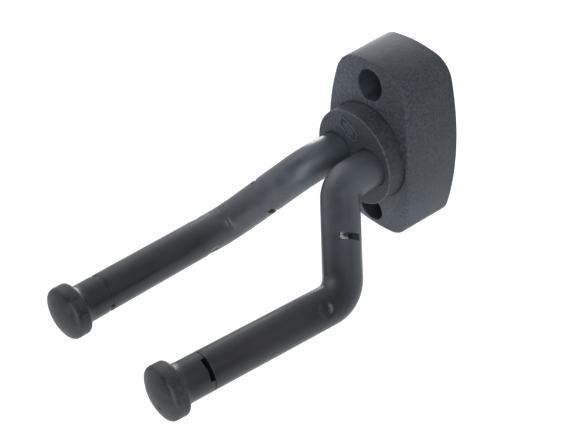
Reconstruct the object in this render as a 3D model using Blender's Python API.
"""Wall guitar hanger: a moulded wall base and a padded steel fork that swivels on it.

Metres, +Z up.  The wall is the plane y = 0 and the hanger stands out from it along -Y.
Distances called "out" are measured from the wall, so a point that stands out by s has y = -s.
The fork is modelled level, on an empty that lies on the swivel axis and is turned a little.
"""
import math

import bmesh
import bpy
from mathutils import Matrix, Vector

MM = 0.001
GAP = 0.3 * MM                      # clearance between pieces that touch
OVERRUN = 1.0 * MM                  # how far a cutter runs past the face it opens
LAP = 0.5 * MM                      # how far joined blocks run into each other

# Wall base: barrel outline, arched front, drafted sides
BASE_HALF_WIDTH = 25.2 * MM         # at mid height
BASE_CORNER_HALF_WIDTH = 21.6 * MM
BASE_HALF_HEIGHT = 41.9 * MM       # on the centre line
BASE_CORNER_HALF_HEIGHT = 41.0 * MM
BASE_CORNER_RADIUS = 12.0 * MM
BASE_DEPTH = 28.5 * MM             # on the swivel axis
BASE_ARCH = 1.66                    # how fast the front falls away with height squared, per metre
BASE_DRAFT_X = 0.976                # front width over back width
BASE_DRAFT_Z = 0.992
BASE_EDGE_RADIUS = 1.4 * MM
BASE_WALL = 2.6 * MM
BASE_FRONT_WALL = 3.4 * MM
WEB_THICK = 1.8 * MM
WEB_LENGTH = 7.5 * MM
WEB_PLACE = 20.0 * MM               # middle of each web, from the swivel axis
WEB_BACK = 14.0 * MM                # out from the wall

# Screw wells
WELL_SPACING = 63.2 * MM
WELL_RADIUS = 6.86 * MM
WELL_TUBE_RADIUS = 9.2 * MM
WELL_FLOOR = 6.7 * MM               # out from the wall
WELL_HOLE_RADIUS = 2.75 * MM

# Back plate and its four screws
PLATE_THICK = 2.4 * MM
PLATE_SCREW_X = 17.0 * MM
PLATE_SCREW_Z = 19.0 * MM
PLATE_BOSS_RADIUS = 3.4 * MM
PLATE_SCREW_LENGTH = 9.0 * MM
PLATE_PILOT_END = 12.0 * MM         # out from the wall
SMALL_SCREW_RADIUS = 1.25 * MM
SMALL_HEAD_RADIUS = 2.4 * MM
SMALL_HEAD_HEIGHT = 1.2 * MM
SMALL_HEAD_RECESS = 0.2 * MM
SMALL_DRIVE_RADIUS = 0.8 * MM

# Swivel bearing, from the front inwards
SEAT_RADIUS = 22.4 * MM
SEAT_OUT = 27.4 * MM
FLANGE_RADIUS = 18.1 * MM
FLANGE_THICK = 0.9 * MM
BUSH_RADIUS = 12.9 * MM
BUSH_BORE = 11.1 * MM
BOSS_RADIUS = 17.0 * MM
BOSS_END = 15.6 * MM
JOURNAL_RADIUS = 10.8 * MM
JOURNAL_END = 12.7 * MM
GLIDE_RING_THICK = 1.0 * MM
RING_BORE = 11.4 * MM
WAVE_THICK = 0.5 * MM
WAVE_HEIGHT = 0.4 * MM
WAVE_COUNT = 3
STOP_PLATE_THICK = 1.5 * MM
STOP_PLATE_RADIUS = 15.5 * MM
STOP_TAB_REACH = 20.0 * MM
STOP_TAB_WIDTH = 6.0 * MM
STOP_TAB_ROOT = 8.0 * MM
STOP_RIB_ANGLE = math.radians(56.0)
STOP_RIB_WIDTH = 3.0 * MM
STOP_RIB_REACH = (16.6 * MM, 20.6 * MM)
STOP_RIB_BACK = 10.4 * MM           # out from the wall
KEY_WIDTH = 9.0 * MM
WASHER_THICK = 1.2 * MM
WASHER_RADIUS = 8.5 * MM
GLIDE_RING_RADIUS = 16.2 * MM

# Pivot bolt and nut
BOLT_RADIUS = 3.0 * MM
BOLT_HOLE = 3.35 * MM
BOLT_HEX = 5.77 * MM                # centre to corner
BOLT_HEAD_HEIGHT = 4.0 * MM
NUT_THICK = 2.8 * MM
NUT_TURN = math.radians(30.0)       # sets two flats beside the rods

# Hub
HUB_RADIUS = 22.0 * MM
HUB_BACK = 27.7 * MM
HUB_FRONT = 36.8 * MM
HUB_EDGE = 0.7 * MM
YOKE_PLATE_RADIUS = 18.2 * MM
YOKE_PLATE_THICK = 3.5 * MM
HUB_SCREW_Z = 13.5 * MM
HUB_SCREW_LENGTH = 6.6 * MM
HUB_PILOT_END = 34.7 * MM
SOCKET_DEPTH = 1.3 * MM

# Fork arms, in the level fork; the right arm has x > 0 and the left arm mirrors it
FORK_TURN = math.radians(-3.6)     # about +Y, lifts the right arm
ARM_SIDE = 10.4 * MM
ARM_DROP = 0.4 * MM
FIRST_BEND_OUT = 54.3 * MM
SECOND_BEND = (37.5 * MM, 79.7 * MM, 29.5 * MM)    # side, out, down
TOE_IN = math.radians(2.8)
UPTILT = math.radians(2.6)
BEND_RADII = (12.0 * MM, 14.0 * MM)
ROD_RADIUS = 4.0 * MM
SLEEVE_RADIUS = 8.3 * MM
SLEEVE_END = 68.5 * MM              # along the straight run, from the second bend
ROD_END = 85.0 * MM
WINDOW_SPREAD = math.radians(35.0)
MID_WINDOW_WIDTH = 2.8 * MM
TIP_WINDOW_WIDTH = 1.7 * MM
WINDOW_FLOOR = 2.0 * MM             # from the rod's centre line

# End caps, along the straight run from the second bend
CAP_FLARE = 1.5 * MM                # fillet from the collar to the head
CAP_HEAD_BACK = 81.5 * MM
CAP_HEAD_RADIUS = 11.4 * MM
CAP_RIM_ROUND = 1.5 * MM
CAP_RIM_FRONT = 86.6 * MM
CAP_EDGE = 2.2 * MM
CAP_EDGE_END = math.radians(24.4)   # slope at which the crown takes over from the edge
CAP_TOP = 90.9 * MM

ROUND = 32                          # sides of the large turned pieces
SMALL_ROUND = 16


# ---------------------------------------------------------------- scene and materials

def clear_scene():
    for obj in list(bpy.data.objects):
        bpy.data.objects.remove(obj, do_unlink=True)


def make_material(name, colour, roughness, metallic=0.0):
    material = bpy.data.materials.new(name)
    material.use_nodes = True
    shader = material.node_tree.nodes["Principled BSDF"]
    shader.inputs["Base Color"].default_value = (*colour, 1.0)
    shader.inputs["Roughness"].default_value = roughness
    shader.inputs["Metallic"].default_value = metallic
    return material


def grained_plastic(name):
    return make_material(name, (0.030, 0.032, 0.037), 0.62)


def satin_plastic(name):
    return make_material(name, (0.024, 0.025, 0.029), 0.48)


def nylon(name):
    return make_material(name, (0.62, 0.61, 0.56), 0.45)


def bright_steel(name):
    return make_material(name, (0.56, 0.56, 0.57), 0.28, 1.0)


def zinc_steel(name):
    return make_material(name, (0.50, 0.51, 0.53), 0.38, 1.0)


def spring_steel(name):
    return make_material(name, (0.30, 0.31, 0.33), 0.35, 1.0)


# ---------------------------------------------------------------- shape helpers

def add_object(name, bm, finish=None, parent=None, smooth=True):
    bmesh.ops.recalc_face_normals(bm, faces=bm.faces)
    mesh = bpy.data.meshes.new(name)
    bm.to_mesh(mesh)
    bm.free()
    obj = bpy.data.objects.new(name, mesh)
    bpy.context.scene.collection.objects.link(obj)
    if finish:
        mesh.materials.append(finish(name + "_finish"))
    if smooth:
        mesh.shade_smooth()
        mesh.set_sharp_from_angle(angle=math.radians(35.0))
    if parent:
        obj.parent = parent
    return obj


def make_cutter(obj):
    obj.hide_render = True
    obj.display_type = "WIRE"
    return obj


def combine(target, tool, operation):
    make_cutter(tool)
    tool.parent = target.parent
    modifier = target.modifiers.new(tool.name, "BOOLEAN")
    modifier.operation = operation
    modifier.solver = "EXACT"
    modifier.object = tool


def bridge_rings(bm, rings, closed=False):
    """Quads between neighbouring vertex rings; a ring of one vertex is a pole."""
    pairs = list(zip(rings, rings[1:]))
    if closed:
        pairs.append((rings[-1], rings[0]))
    for first, second in pairs:
        count = max(len(first), len(second))
        for i in range(count):
            j = (i + 1) % count
            if len(first) == 1:
                bm.faces.new((first[0], second[i], second[j]))
            elif len(second) == 1:
                bm.faces.new((first[i], second[0], first[j]))
            else:
                bm.faces.new((first[i], second[i], second[j], first[j]))


def turned(profile, segments=ROUND, closed=False, start=0.0):
    """Turn (radius, out) pairs about the Y axis.  An open profile starts and ends on it."""
    bm = bmesh.new()
    rings = []
    for radius, out in profile:
        if radius == 0.0:
            rings.append([bm.verts.new((0.0, -out, 0.0))])
            continue
        section = []
        for i in range(segments):
            angle = start + 2.0 * math.pi * i / segments
            section.append(bm.verts.new((radius * math.cos(angle), -out, radius * math.sin(angle))))
        rings.append(section)
    bridge_rings(bm, rings, closed)
    return bm


def disc(radius, near, far, segments=ROUND, start=0.0):
    return turned([(0.0, near), (radius, near), (radius, far), (0.0, far)], segments, start=start)


def ring(inner, outer, near, far, segments=ROUND):
    profile = [(inner, near), (outer, near), (outer, far), (inner, far)]
    return turned(profile, segments, closed=True)


def box(centre, size, turn=None):
    bm = bmesh.new()
    bmesh.ops.create_cube(bm, size=1.0)
    place = Matrix.Translation(centre) @ (turn.to_4x4() if turn else Matrix())
    bm.transform(place @ Matrix.Diagonal((*size, 1.0)))
    return bm


def shifted(bm, x, z):
    bm.transform(Matrix.Translation((x, 0.0, z)))
    return bm


def arc_profile(centre_radius, centre_out, radius, first, last, steps):
    """Points of a rounded profile corner; angles run from the +out direction towards +radius."""
    points = []
    for i in range(steps + 1):
        angle = first + (last - first) * i / steps
        points.append((centre_radius + radius * math.sin(angle), centre_out + radius * math.cos(angle)))
    return points


# ---------------------------------------------------------------- wall base

def half_outline(inset):
    """Right half of the barrel outline, bottom centre to top centre, as (x, z)."""
    radius = BASE_CORNER_RADIUS - inset
    side_x = BASE_HALF_WIDTH - BASE_CORNER_RADIUS
    bulge = BASE_HALF_WIDTH - BASE_CORNER_HALF_WIDTH
    top_z = BASE_HALF_HEIGHT - BASE_CORNER_RADIUS
    rise = BASE_HALF_HEIGHT - BASE_CORNER_HALF_HEIGHT
    corner = Vector((BASE_CORNER_HALF_WIDTH, BASE_CORNER_HALF_HEIGHT))
    corner -= Vector((BASE_CORNER_RADIUS, BASE_CORNER_RADIUS))
    upper = []
    for i in range(6):
        t = i / 5
        normal = Vector((corner.y, 2.0 * bulge * t)).normalized()
        upper.append(Vector((side_x - bulge * t * t, corner.y * t)) + normal * radius)
    side_angle = math.atan2(2.0 * bulge, corner.y)
    top_angle = math.atan2(corner.x, 2.0 * rise)
    for i in range(1, 5):
        angle = side_angle + (top_angle - side_angle) * i / 5
        upper.append(corner + Vector((math.cos(angle), math.sin(angle))) * radius)
    for i in range(4):
        t = 1.0 - i / 3
        normal = Vector((2.0 * rise * t, corner.x)).normalized()
        upper.append(Vector((corner.x * t, top_z - rise * t * t)) + normal * radius)
    lower = [Vector((point.x, -point.y)) for point in upper[:0:-1]]
    return lower + upper


def arch(z):
    return BASE_ARCH * z * z


def barrel(inset, back_out, front_out, edge_radius):
    """Drafted barrel block between two distances from the wall, with an arched, rounded front."""
    bm = bmesh.new()
    rings = []

    def add_ring(extra, out, with_arch):
        points = half_outline(inset + extra)
        share = min(1.0, max(0.0, out / BASE_DEPTH))
        scale_x = 1.0 + (BASE_DRAFT_X - 1.0) * share
        scale_z = 1.0 + (BASE_DRAFT_Z - 1.0) * share
        mirrored = [Vector((-p.x, p.y)) for p in points[-2:0:-1]]
        ring_verts = []
        for p in points + mirrored:
            z = p.y * scale_z
            fall = arch(z) if with_arch else 0.0
            ring_verts.append(bm.verts.new((p.x * scale_x, -(out - fall), z)))
        rings.append(ring_verts)

    add_ring(0.0, back_out, False)
    steps = 3 if edge_radius else 0
    for i in range(steps + 1):
        angle = math.radians(90.0) * i / steps if steps else 0.0
        setback = edge_radius * (1.0 - math.sin(angle))
        add_ring(edge_radius * (1.0 - math.cos(angle)), front_out - setback, True)
    bridge_rings(bm, rings)
    bm.faces.new(rings[0])
    front = rings[-1]
    half = len(front) // 2
    left = [front[0]] + front[:half:-1] + [front[half]]
    for i in range(half):
        corners = [front[i], front[i + 1], left[i + 1], left[i]]
        bm.faces.new([v for k, v in enumerate(corners) if v not in corners[:k]])
    return bm


def make_base_housing():
    housing = add_object("base_housing", barrel(0.0, 0.0, BASE_DEPTH, BASE_EDGE_RADIUS), grained_plastic)
    hollow = barrel(BASE_WALL, -OVERRUN, BASE_DEPTH - BASE_FRONT_WALL, 0.0)
    combine(housing, add_object("housing_hollow", hollow), "DIFFERENCE")
    inner_front = BASE_DEPTH - BASE_FRONT_WALL + LAP
    add_well_tubes(housing, inner_front)
    add_webs(housing, inner_front)
    combine(housing, add_object("bearing_boss", disc(BOSS_RADIUS, BOSS_END, inner_front)), "UNION")
    add_stop_ribs(housing, inner_front)
    add_plate_bosses(housing, inner_front)
    bore_wells(housing)
    bore_swivel_seat(housing)


def add_well_tubes(housing, inner_front):
    for sign, side in ((1, "upper"), (-1, "lower")):
        z = sign * WELL_SPACING / 2
        tube = shifted(disc(WELL_TUBE_RADIUS, PLATE_THICK + GAP, inner_front - arch(z), 24), 0.0, z)
        combine(housing, add_object("well_tube_" + side, tube), "UNION")


def add_webs(housing, inner_front):
    """Four webs that tie the bearing boss to the side walls and the well tubes."""
    depth = inner_front - WEB_BACK
    middle = -(inner_front + WEB_BACK) / 2
    for sign, z_side, x_side in ((1, "upper", "right"), (-1, "lower", "left")):
        upright = box((0.0, middle, sign * WEB_PLACE), (WEB_THICK, depth, WEB_LENGTH))
        combine(housing, add_object("web_" + z_side, upright, smooth=False), "UNION")
        level = box((sign * WEB_PLACE, middle, 0.0), (WEB_LENGTH, depth, WEB_THICK))
        combine(housing, add_object("web_" + x_side, level, smooth=False), "UNION")


def add_stop_ribs(housing, inner_front):
    """Two ribs on the bearing boss that the stop plate's tab comes up against."""
    inner, outer = STOP_RIB_REACH
    size = (STOP_RIB_WIDTH, inner_front - STOP_RIB_BACK, outer - inner)
    for sign, side in ((1, "right"), (-1, "left")):
        turn = Matrix.Rotation(sign * STOP_RIB_ANGLE, 3, "Y")
        centre = turn @ Vector((0.0, -(inner_front + STOP_RIB_BACK) / 2, (inner + outer) / 2))
        combine(housing, add_object("stop_rib_" + side, box(centre, size, turn), smooth=False), "UNION")


def add_plate_bosses(housing, inner_front):
    for x, z, place in plate_screw_places():
        boss = shifted(disc(PLATE_BOSS_RADIUS, PLATE_THICK + GAP, inner_front, 14), x, z)
        combine(housing, add_object("plate_boss_" + place, boss), "UNION")
        pilot = shifted(disc(SMALL_SCREW_RADIUS + GAP, 0.0, PLATE_PILOT_END, 10), x, z)
        combine(housing, add_object("plate_pilot_" + place, pilot), "DIFFERENCE")


def bore_wells(housing):
    """Stepped bores: a wide well for the screw head and a narrow hole through its floor."""
    front = BASE_DEPTH + OVERRUN
    profile = [(0.0, -OVERRUN), (WELL_HOLE_RADIUS, -OVERRUN), (WELL_HOLE_RADIUS, WELL_FLOOR),
               (WELL_RADIUS, WELL_FLOOR), (WELL_RADIUS, front), (0.0, front)]
    for sign, side in ((1, "upper"), (-1, "lower")):
        well = shifted(turned(profile, 28), 0.0, sign * WELL_SPACING / 2)
        combine(housing, add_object("well_bore_" + side, well), "DIFFERENCE")


def bore_swivel_seat(housing):
    """Round seat for the hub, a shallow recess for the bush's flange and the bush's bore."""
    flange_seat = SEAT_OUT - FLANGE_THICK - GAP
    back = BOSS_END - OVERRUN
    front = BASE_DEPTH + OVERRUN
    profile = [(0.0, back), (BUSH_RADIUS + GAP, back), (BUSH_RADIUS + GAP, flange_seat),
               (FLANGE_RADIUS + GAP, flange_seat), (FLANGE_RADIUS + GAP, SEAT_OUT),
               (SEAT_RADIUS, SEAT_OUT), (SEAT_RADIUS, front), (0.0, front)]
    combine(housing, add_object("swivel_bore", turned(profile)), "DIFFERENCE")


def plate_screw_places():
    for x_sign, side in ((1, "right"), (-1, "left")):
        for z_sign, level in ((1, "upper"), (-1, "lower")):
            yield x_sign * PLATE_SCREW_X, z_sign * PLATE_SCREW_Z, level + "_" + side


def countersink(face):
    """Cutter for a countersunk small screw driven outwards through a face at that distance."""
    hole = SMALL_SCREW_RADIUS + GAP
    deep = face + PLATE_PILOT_END
    mouth = face - LAP
    cone_end = face + SMALL_HEAD_RECESS + SMALL_HEAD_HEIGHT
    profile = [(0.0, mouth), (SMALL_HEAD_RADIUS + 2 * GAP, mouth), (SMALL_HEAD_RADIUS + 2 * GAP, face),
               (hole, cone_end + GAP), (hole, deep), (0.0, deep)]
    return turned(profile, 12)


def countersunk_screw(face, length):
    """Screw whose head sits just under a face, with a blind round drive recess."""
    head = face + SMALL_HEAD_RECESS
    profile = [(0.0, head + SMALL_HEAD_RECESS), (SMALL_DRIVE_RADIUS, head), (SMALL_HEAD_RADIUS, head),
               (SMALL_HEAD_RADIUS - GAP, head + GAP), (SMALL_SCREW_RADIUS, head + SMALL_HEAD_HEIGHT),
               (SMALL_SCREW_RADIUS, face + length - SMALL_SCREW_RADIUS), (0.0, face + length)]
    return turned(profile, 12)


def make_back_plate():
    points = half_outline(BASE_WALL + GAP)
    outline = points + [Vector((-p.x, p.y)) for p in points[-2:0:-1]]
    bm = bmesh.new()
    rings = []
    for out in (0.0, PLATE_THICK):
        rings.append([bm.verts.new((p.x, -out, p.y)) for p in outline])
    bridge_rings(bm, rings)
    bm.faces.new(rings[0])
    bm.faces.new(rings[1])
    plate = add_object("back_plate", bm, zinc_steel)
    for sign, side in ((1, "upper"), (-1, "lower")):
        hole = disc(WELL_HOLE_RADIUS, -OVERRUN, PLATE_THICK + OVERRUN, 20)
        hole = shifted(hole, 0.0, sign * WELL_SPACING / 2)
        combine(plate, add_object("plate_hole_" + side, hole), "DIFFERENCE")
    for x, z, place in plate_screw_places():
        combine(plate, add_object("plate_sink_" + place, shifted(countersink(0.0), x, z)), "DIFFERENCE")
        screw = shifted(countersunk_screw(0.0, PLATE_SCREW_LENGTH), x, z)
        add_object("back_plate_screw_" + place, screw, zinc_steel)


def make_bearing_bush():
    flange_back = SEAT_OUT - FLANGE_THICK
    profile = [(BUSH_BORE, BOSS_END + GAP), (BUSH_RADIUS, BOSS_END + GAP), (BUSH_RADIUS, flange_back),
               (FLANGE_RADIUS, flange_back), (FLANGE_RADIUS, SEAT_OUT), (BUSH_BORE, SEAT_OUT)]
    add_object("bearing_bush", turned(profile, closed=True), nylon)


def make_glide_ring():
    near = BOSS_END - GAP - GLIDE_RING_THICK
    add_object("glide_ring", ring(RING_BORE, GLIDE_RING_RADIUS, near, BOSS_END - GAP), nylon)


# ---------------------------------------------------------------- swivel parts that turn with the fork

def make_wave_washer(fork):
    """A spring ring with crests all round, between the glide ring and the stop plate."""
    middle = JOURNAL_END + WAVE_HEIGHT + WAVE_THICK / 2
    bm = bmesh.new()
    rings = []
    for i in range(ROUND):
        angle = 2.0 * math.pi * i / ROUND
        level = middle + WAVE_HEIGHT * math.cos(WAVE_COUNT * angle)
        section = []
        near = level - WAVE_THICK / 2
        far = level + WAVE_THICK / 2
        corners = ((RING_BORE, near), (STOP_PLATE_RADIUS, near), (STOP_PLATE_RADIUS, far), (RING_BORE, far))
        for radius, out in corners:
            section.append(bm.verts.new((radius * math.cos(angle), -out, radius * math.sin(angle))))
        rings.append(section)
    bridge_rings(bm, rings, closed=True)
    add_object("wave_washer", bm, spring_steel, fork)


def make_pivot_journal(fork):
    journal = add_object("pivot_journal", ring(BOLT_HOLE, JOURNAL_RADIUS, JOURNAL_END, HUB_BACK - GAP),
                         zinc_steel, fork)
    key_end = JOURNAL_END - STOP_PLATE_THICK + GAP
    key_root = JOURNAL_END + LAP
    key = box((0.0, -(key_root + key_end) / 2, 0.0), (KEY_WIDTH, key_root - key_end, KEY_WIDTH))
    combine(journal, add_object("journal_key", key, smooth=False), "UNION")
    bore = disc(BOLT_HOLE, key_end - OVERRUN, HUB_BACK + OVERRUN, SMALL_ROUND)
    combine(journal, add_object("journal_bore", bore), "DIFFERENCE")


def make_stop_plate(fork):
    far = JOURNAL_END - GAP
    near = far - STOP_PLATE_THICK
    plate = add_object("stop_plate", disc(STOP_PLATE_RADIUS, near, far), zinc_steel, fork)
    tab = box((0.0, -(near + far) / 2, (STOP_TAB_REACH + STOP_TAB_ROOT) / 2),
              (STOP_TAB_WIDTH, STOP_PLATE_THICK, STOP_TAB_REACH - STOP_TAB_ROOT))
    combine(plate, add_object("stop_tab", tab, smooth=False), "UNION")
    keyway = box((0.0, -(near + far) / 2, 0.0),
                 (KEY_WIDTH + 2 * GAP, 2 * STOP_PLATE_THICK, KEY_WIDTH + 2 * GAP))
    combine(plate, add_object("stop_keyway", keyway, smooth=False), "DIFFERENCE")


def make_bolt_stack(fork):
    washer_far = JOURNAL_END - 2 * GAP - STOP_PLATE_THICK
    washer_near = washer_far - WASHER_THICK
    washer = ring(BOLT_HOLE, WASHER_RADIUS, washer_near, washer_far, 28)
    add_object("pivot_washer", washer, zinc_steel, fork)
    head_far = washer_near - GAP
    head_near = head_far - BOLT_HEAD_HEIGHT
    nut_near = HUB_BACK + YOKE_PLATE_THICK + GAP
    bolt = add_object("pivot_bolt", disc(BOLT_HEX, head_near, head_far, 6), zinc_steel, fork)
    shank = disc(BOLT_RADIUS, head_far - LAP, nut_near + NUT_THICK, SMALL_ROUND)
    combine(bolt, add_object("bolt_shank", shank), "UNION")
    hexagon = disc(BOLT_HEX, nut_near, nut_near + NUT_THICK, 6, NUT_TURN)
    nut = add_object("pivot_nut", hexagon, zinc_steel, fork)
    bore = disc(BOLT_HOLE, nut_near - OVERRUN, nut_near + NUT_THICK + OVERRUN, SMALL_ROUND)
    combine(nut, add_object("nut_bore", bore), "DIFFERENCE")


# ---------------------------------------------------------------- hub

def rod_holes(target, radius, near, far, label):
    for sign, side in ((1, "right"), (-1, "left")):
        hole = shifted(disc(radius, near, far, 20), sign * ARM_SIDE, -ARM_DROP)
        combine(target, add_object(label + "_" + side, hole), "DIFFERENCE")


def make_yoke_plate(fork):
    far = HUB_BACK + YOKE_PLATE_THICK
    plate = add_object("yoke_plate", ring(BOLT_HOLE, YOKE_PLATE_RADIUS, HUB_BACK, far), zinc_steel, fork)
    rod_holes(plate, ROD_RADIUS + GAP, HUB_BACK - OVERRUN, far + OVERRUN, "yoke_rod_hole")
    for sign, side in ((1, "upper"), (-1, "lower")):
        z = sign * HUB_SCREW_Z
        sink = shifted(countersink(HUB_BACK), 0.0, z)
        combine(plate, add_object("yoke_sink_" + side, sink), "DIFFERENCE")
        screw = shifted(countersunk_screw(HUB_BACK, HUB_SCREW_LENGTH), 0.0, z)
        add_object("hub_screw_" + side, screw, zinc_steel, fork)


def make_hub_shell(fork):
    front = [(0.0, HUB_FRONT)] + arc_profile(HUB_RADIUS - HUB_EDGE, HUB_FRONT - HUB_EDGE, HUB_EDGE,
                                             0.0, math.radians(90.0), 3)
    shell = add_object("hub_shell", turned(front + [(HUB_RADIUS, HUB_BACK), (0.0, HUB_BACK)], 44),
                       grained_plastic, fork)
    plate_far = HUB_BACK + YOKE_PLATE_THICK + GAP
    pocket = disc(YOKE_PLATE_RADIUS + GAP, HUB_BACK - OVERRUN, plate_far)
    combine(shell, add_object("yoke_pocket", pocket), "DIFFERENCE")
    nut_pocket = disc(BOLT_HEX + GAP, plate_far - OVERRUN, plate_far + NUT_THICK + GAP, 6, NUT_TURN)
    combine(shell, add_object("nut_pocket", nut_pocket), "DIFFERENCE")
    rod_holes(shell, ROD_RADIUS + GAP, plate_far - OVERRUN, HUB_FRONT + OVERRUN, "hub_rod_hole")
    rod_holes(shell, SLEEVE_RADIUS + GAP, HUB_FRONT - SOCKET_DEPTH, HUB_FRONT + OVERRUN, "hub_socket")
    for sign, side in ((1, "upper"), (-1, "lower")):
        pilot = disc(SMALL_SCREW_RADIUS + GAP, plate_far - OVERRUN, HUB_PILOT_END, 10)
        pilot = shifted(pilot, 0.0, sign * HUB_SCREW_Z)
        combine(shell, add_object("hub_pilot_" + side, pilot), "DIFFERENCE")


# ---------------------------------------------------------------- fork arms

def arm_corners(sign):
    """Hub end, the two bends and the direction of the straight run, for one arm."""
    side, out, down = SECOND_BEND
    first = Vector((sign * ARM_SIDE, -FIRST_BEND_OUT, -ARM_DROP))
    second = Vector((sign * side, -out, -down))
    run = Vector((-sign * math.tan(TOE_IN), -1.0, math.tan(UPTILT))).normalized()
    return first, second, run


def bend_normal(sign):
    """Direction square to the plane in which the arm is bent, pointing up."""
    first, second, run = arm_corners(sign)
    normal = (second - first).cross(run).normalized()
    return normal if normal.z > 0.0 else -normal


def arm_path(sign, start_out, end_along, bend_steps=5):
    """Centre line from the hub to the tip, as (point, direction)."""
    first, second, run = arm_corners(sign)
    start = Vector((first.x, -start_out, first.z))
    end = second + run * end_along
    points = [start, first, second, end]
    path = [(start, (first - start).normalized())]
    for before, corner, after, radius in zip(points, points[1:], points[2:], BEND_RADII):
        into = (corner - before).normalized()
        onward = (after - corner).normalized()
        angle = into.angle(onward)
        centre = corner + (onward - into).normalized() * (radius / math.cos(angle / 2))
        axis = into.cross(onward).normalized()
        entry = corner - into * (radius * math.tan(angle / 2))
        for i in range(bend_steps + 1):
            turn = Matrix.Rotation(angle * i / bend_steps, 3, axis)
            path.append((centre + turn @ (entry - centre), turn @ into))
    path.append((end, run))
    return path


def path_frames(path, reference):
    """A side and an up direction at each point, carried along without twist."""
    frames = []
    side = reference
    for point, direction in path:
        side = (side - direction * side.dot(direction)).normalized()
        frames.append((point, side, direction.cross(side)))
    return frames


def swept(frames, radii, segments):
    """Tube along a path: one radius gives a solid bar, two give an open tube."""
    bm = bmesh.new()
    walls = []
    for radius in radii:
        wall = []
        for point, side, up in frames:
            section = []
            for i in range(segments):
                angle = 2.0 * math.pi * i / segments
                spoke = side * math.cos(angle) + up * math.sin(angle)
                section.append(bm.verts.new(point + spoke * radius))
            wall.append(section)
        bridge_rings(bm, wall)
        walls.append(wall)
    for end in (0, -1):
        if len(walls) == 1:
            bm.faces.new(walls[0][end])
        else:
            bridge_rings(bm, [walls[0][end], walls[1][end]])
    return bm


def window_cutter(centre, along, normal, width):
    """Two slabs that open a sleeve or a collar on both sides, down to the rod."""
    across = along.cross(normal).normalized()
    half_chord = SLEEVE_RADIUS * math.sin(WINDOW_SPREAD)
    inner = WINDOW_FLOOR
    outer = SLEEVE_RADIUS + OVERRUN
    axes = Matrix((along, across, normal)).transposed()
    bm = bmesh.new()
    for sign in (1, -1):
        slab = bmesh.ops.create_cube(bm, size=1.0)["verts"]
        size = Matrix.Diagonal((width, 2.0 * half_chord, outer - inner, 1.0))
        place = Matrix.Translation(centre + normal * (sign * (inner + outer) / 2))
        bmesh.ops.transform(bm, matrix=place @ axes.to_4x4() @ size, verts=slab)
    return bm


def make_arm(fork, sign, side):
    first, second, run = arm_corners(sign)
    normal = bend_normal(sign)
    rod_path = path_frames(arm_path(sign, HUB_BACK + GAP, ROD_END), normal)
    add_object(side + "_rod", swept(rod_path, [ROD_RADIUS], 12), bright_steel, fork)

    sleeve_start = HUB_FRONT - SOCKET_DEPTH + GAP
    sleeve_path = path_frames(arm_path(sign, sleeve_start, SLEEVE_END), normal)
    sleeve = add_object(side + "_sleeve", swept(sleeve_path, [SLEEVE_RADIUS, ROD_RADIUS + GAP], 16),
                        satin_plastic, fork)
    slant = (second - first).normalized()
    middle = window_cutter((first + second) / 2, slant, normal, MID_WINDOW_WIDTH)
    combine(sleeve, add_object(side + "_mid_windows", middle, smooth=False), "DIFFERENCE")
    make_end_cap(fork, side, second, run, normal)


def cap_profile():
    """Bore, collar, flare and domed head of an end cap, as (radius, distance along the straight run)."""
    square = math.radians(90.0)
    bore = ROD_RADIUS + GAP
    start = SLEEVE_END + GAP
    profile = [(0.0, ROD_END + GAP), (bore, ROD_END + GAP), (bore, start), (SLEEVE_RADIUS, start)]
    profile += arc_profile(SLEEVE_RADIUS + CAP_FLARE, CAP_HEAD_BACK - CAP_FLARE, CAP_FLARE, -square, 0.0, 3)
    profile += arc_profile(CAP_HEAD_RADIUS - CAP_RIM_ROUND, CAP_HEAD_BACK + CAP_RIM_ROUND, CAP_RIM_ROUND,
                           2.0 * square, square, 3)
    profile += arc_profile(CAP_HEAD_RADIUS - CAP_EDGE, CAP_RIM_FRONT, CAP_EDGE, square, CAP_EDGE_END, 4)
    crown_radius, crown_start = profile[-1]
    for share in (0.75, 0.5, 0.25, 0.0):
        profile.append((crown_radius * share, CAP_TOP - (CAP_TOP - crown_start) * share ** 2))
    return profile


def make_end_cap(fork, side, origin, run, normal):
    bm = turned(cap_profile(), 24)
    turn = Vector((0.0, -1.0, 0.0)).rotation_difference(run).to_matrix().to_4x4()
    bm.transform(Matrix.Translation(origin) @ turn)
    cap = add_object(side + "_end_cap", bm, satin_plastic, fork)
    notches = window_cutter(origin + run * (SLEEVE_END + GAP), run, normal, 2.0 * TIP_WINDOW_WIDTH)
    combine(cap, add_object(side + "_tip_windows", notches, smooth=False), "DIFFERENCE")


# ---------------------------------------------------------------- assembly

def build():
    clear_scene()
    make_base_housing()
    make_back_plate()
    make_bearing_bush()
    make_glide_ring()
    fork = bpy.data.objects.new("fork_swivel_axis", None)
    bpy.context.scene.collection.objects.link(fork)
    fork.rotation_euler = (0.0, FORK_TURN, 0.0)
    make_wave_washer(fork)
    make_pivot_journal(fork)
    make_stop_plate(fork)
    make_bolt_stack(fork)
    make_yoke_plate(fork)
    make_hub_shell(fork)
    make_arm(fork, 1, "right")
    make_arm(fork, -1, "left")


build()
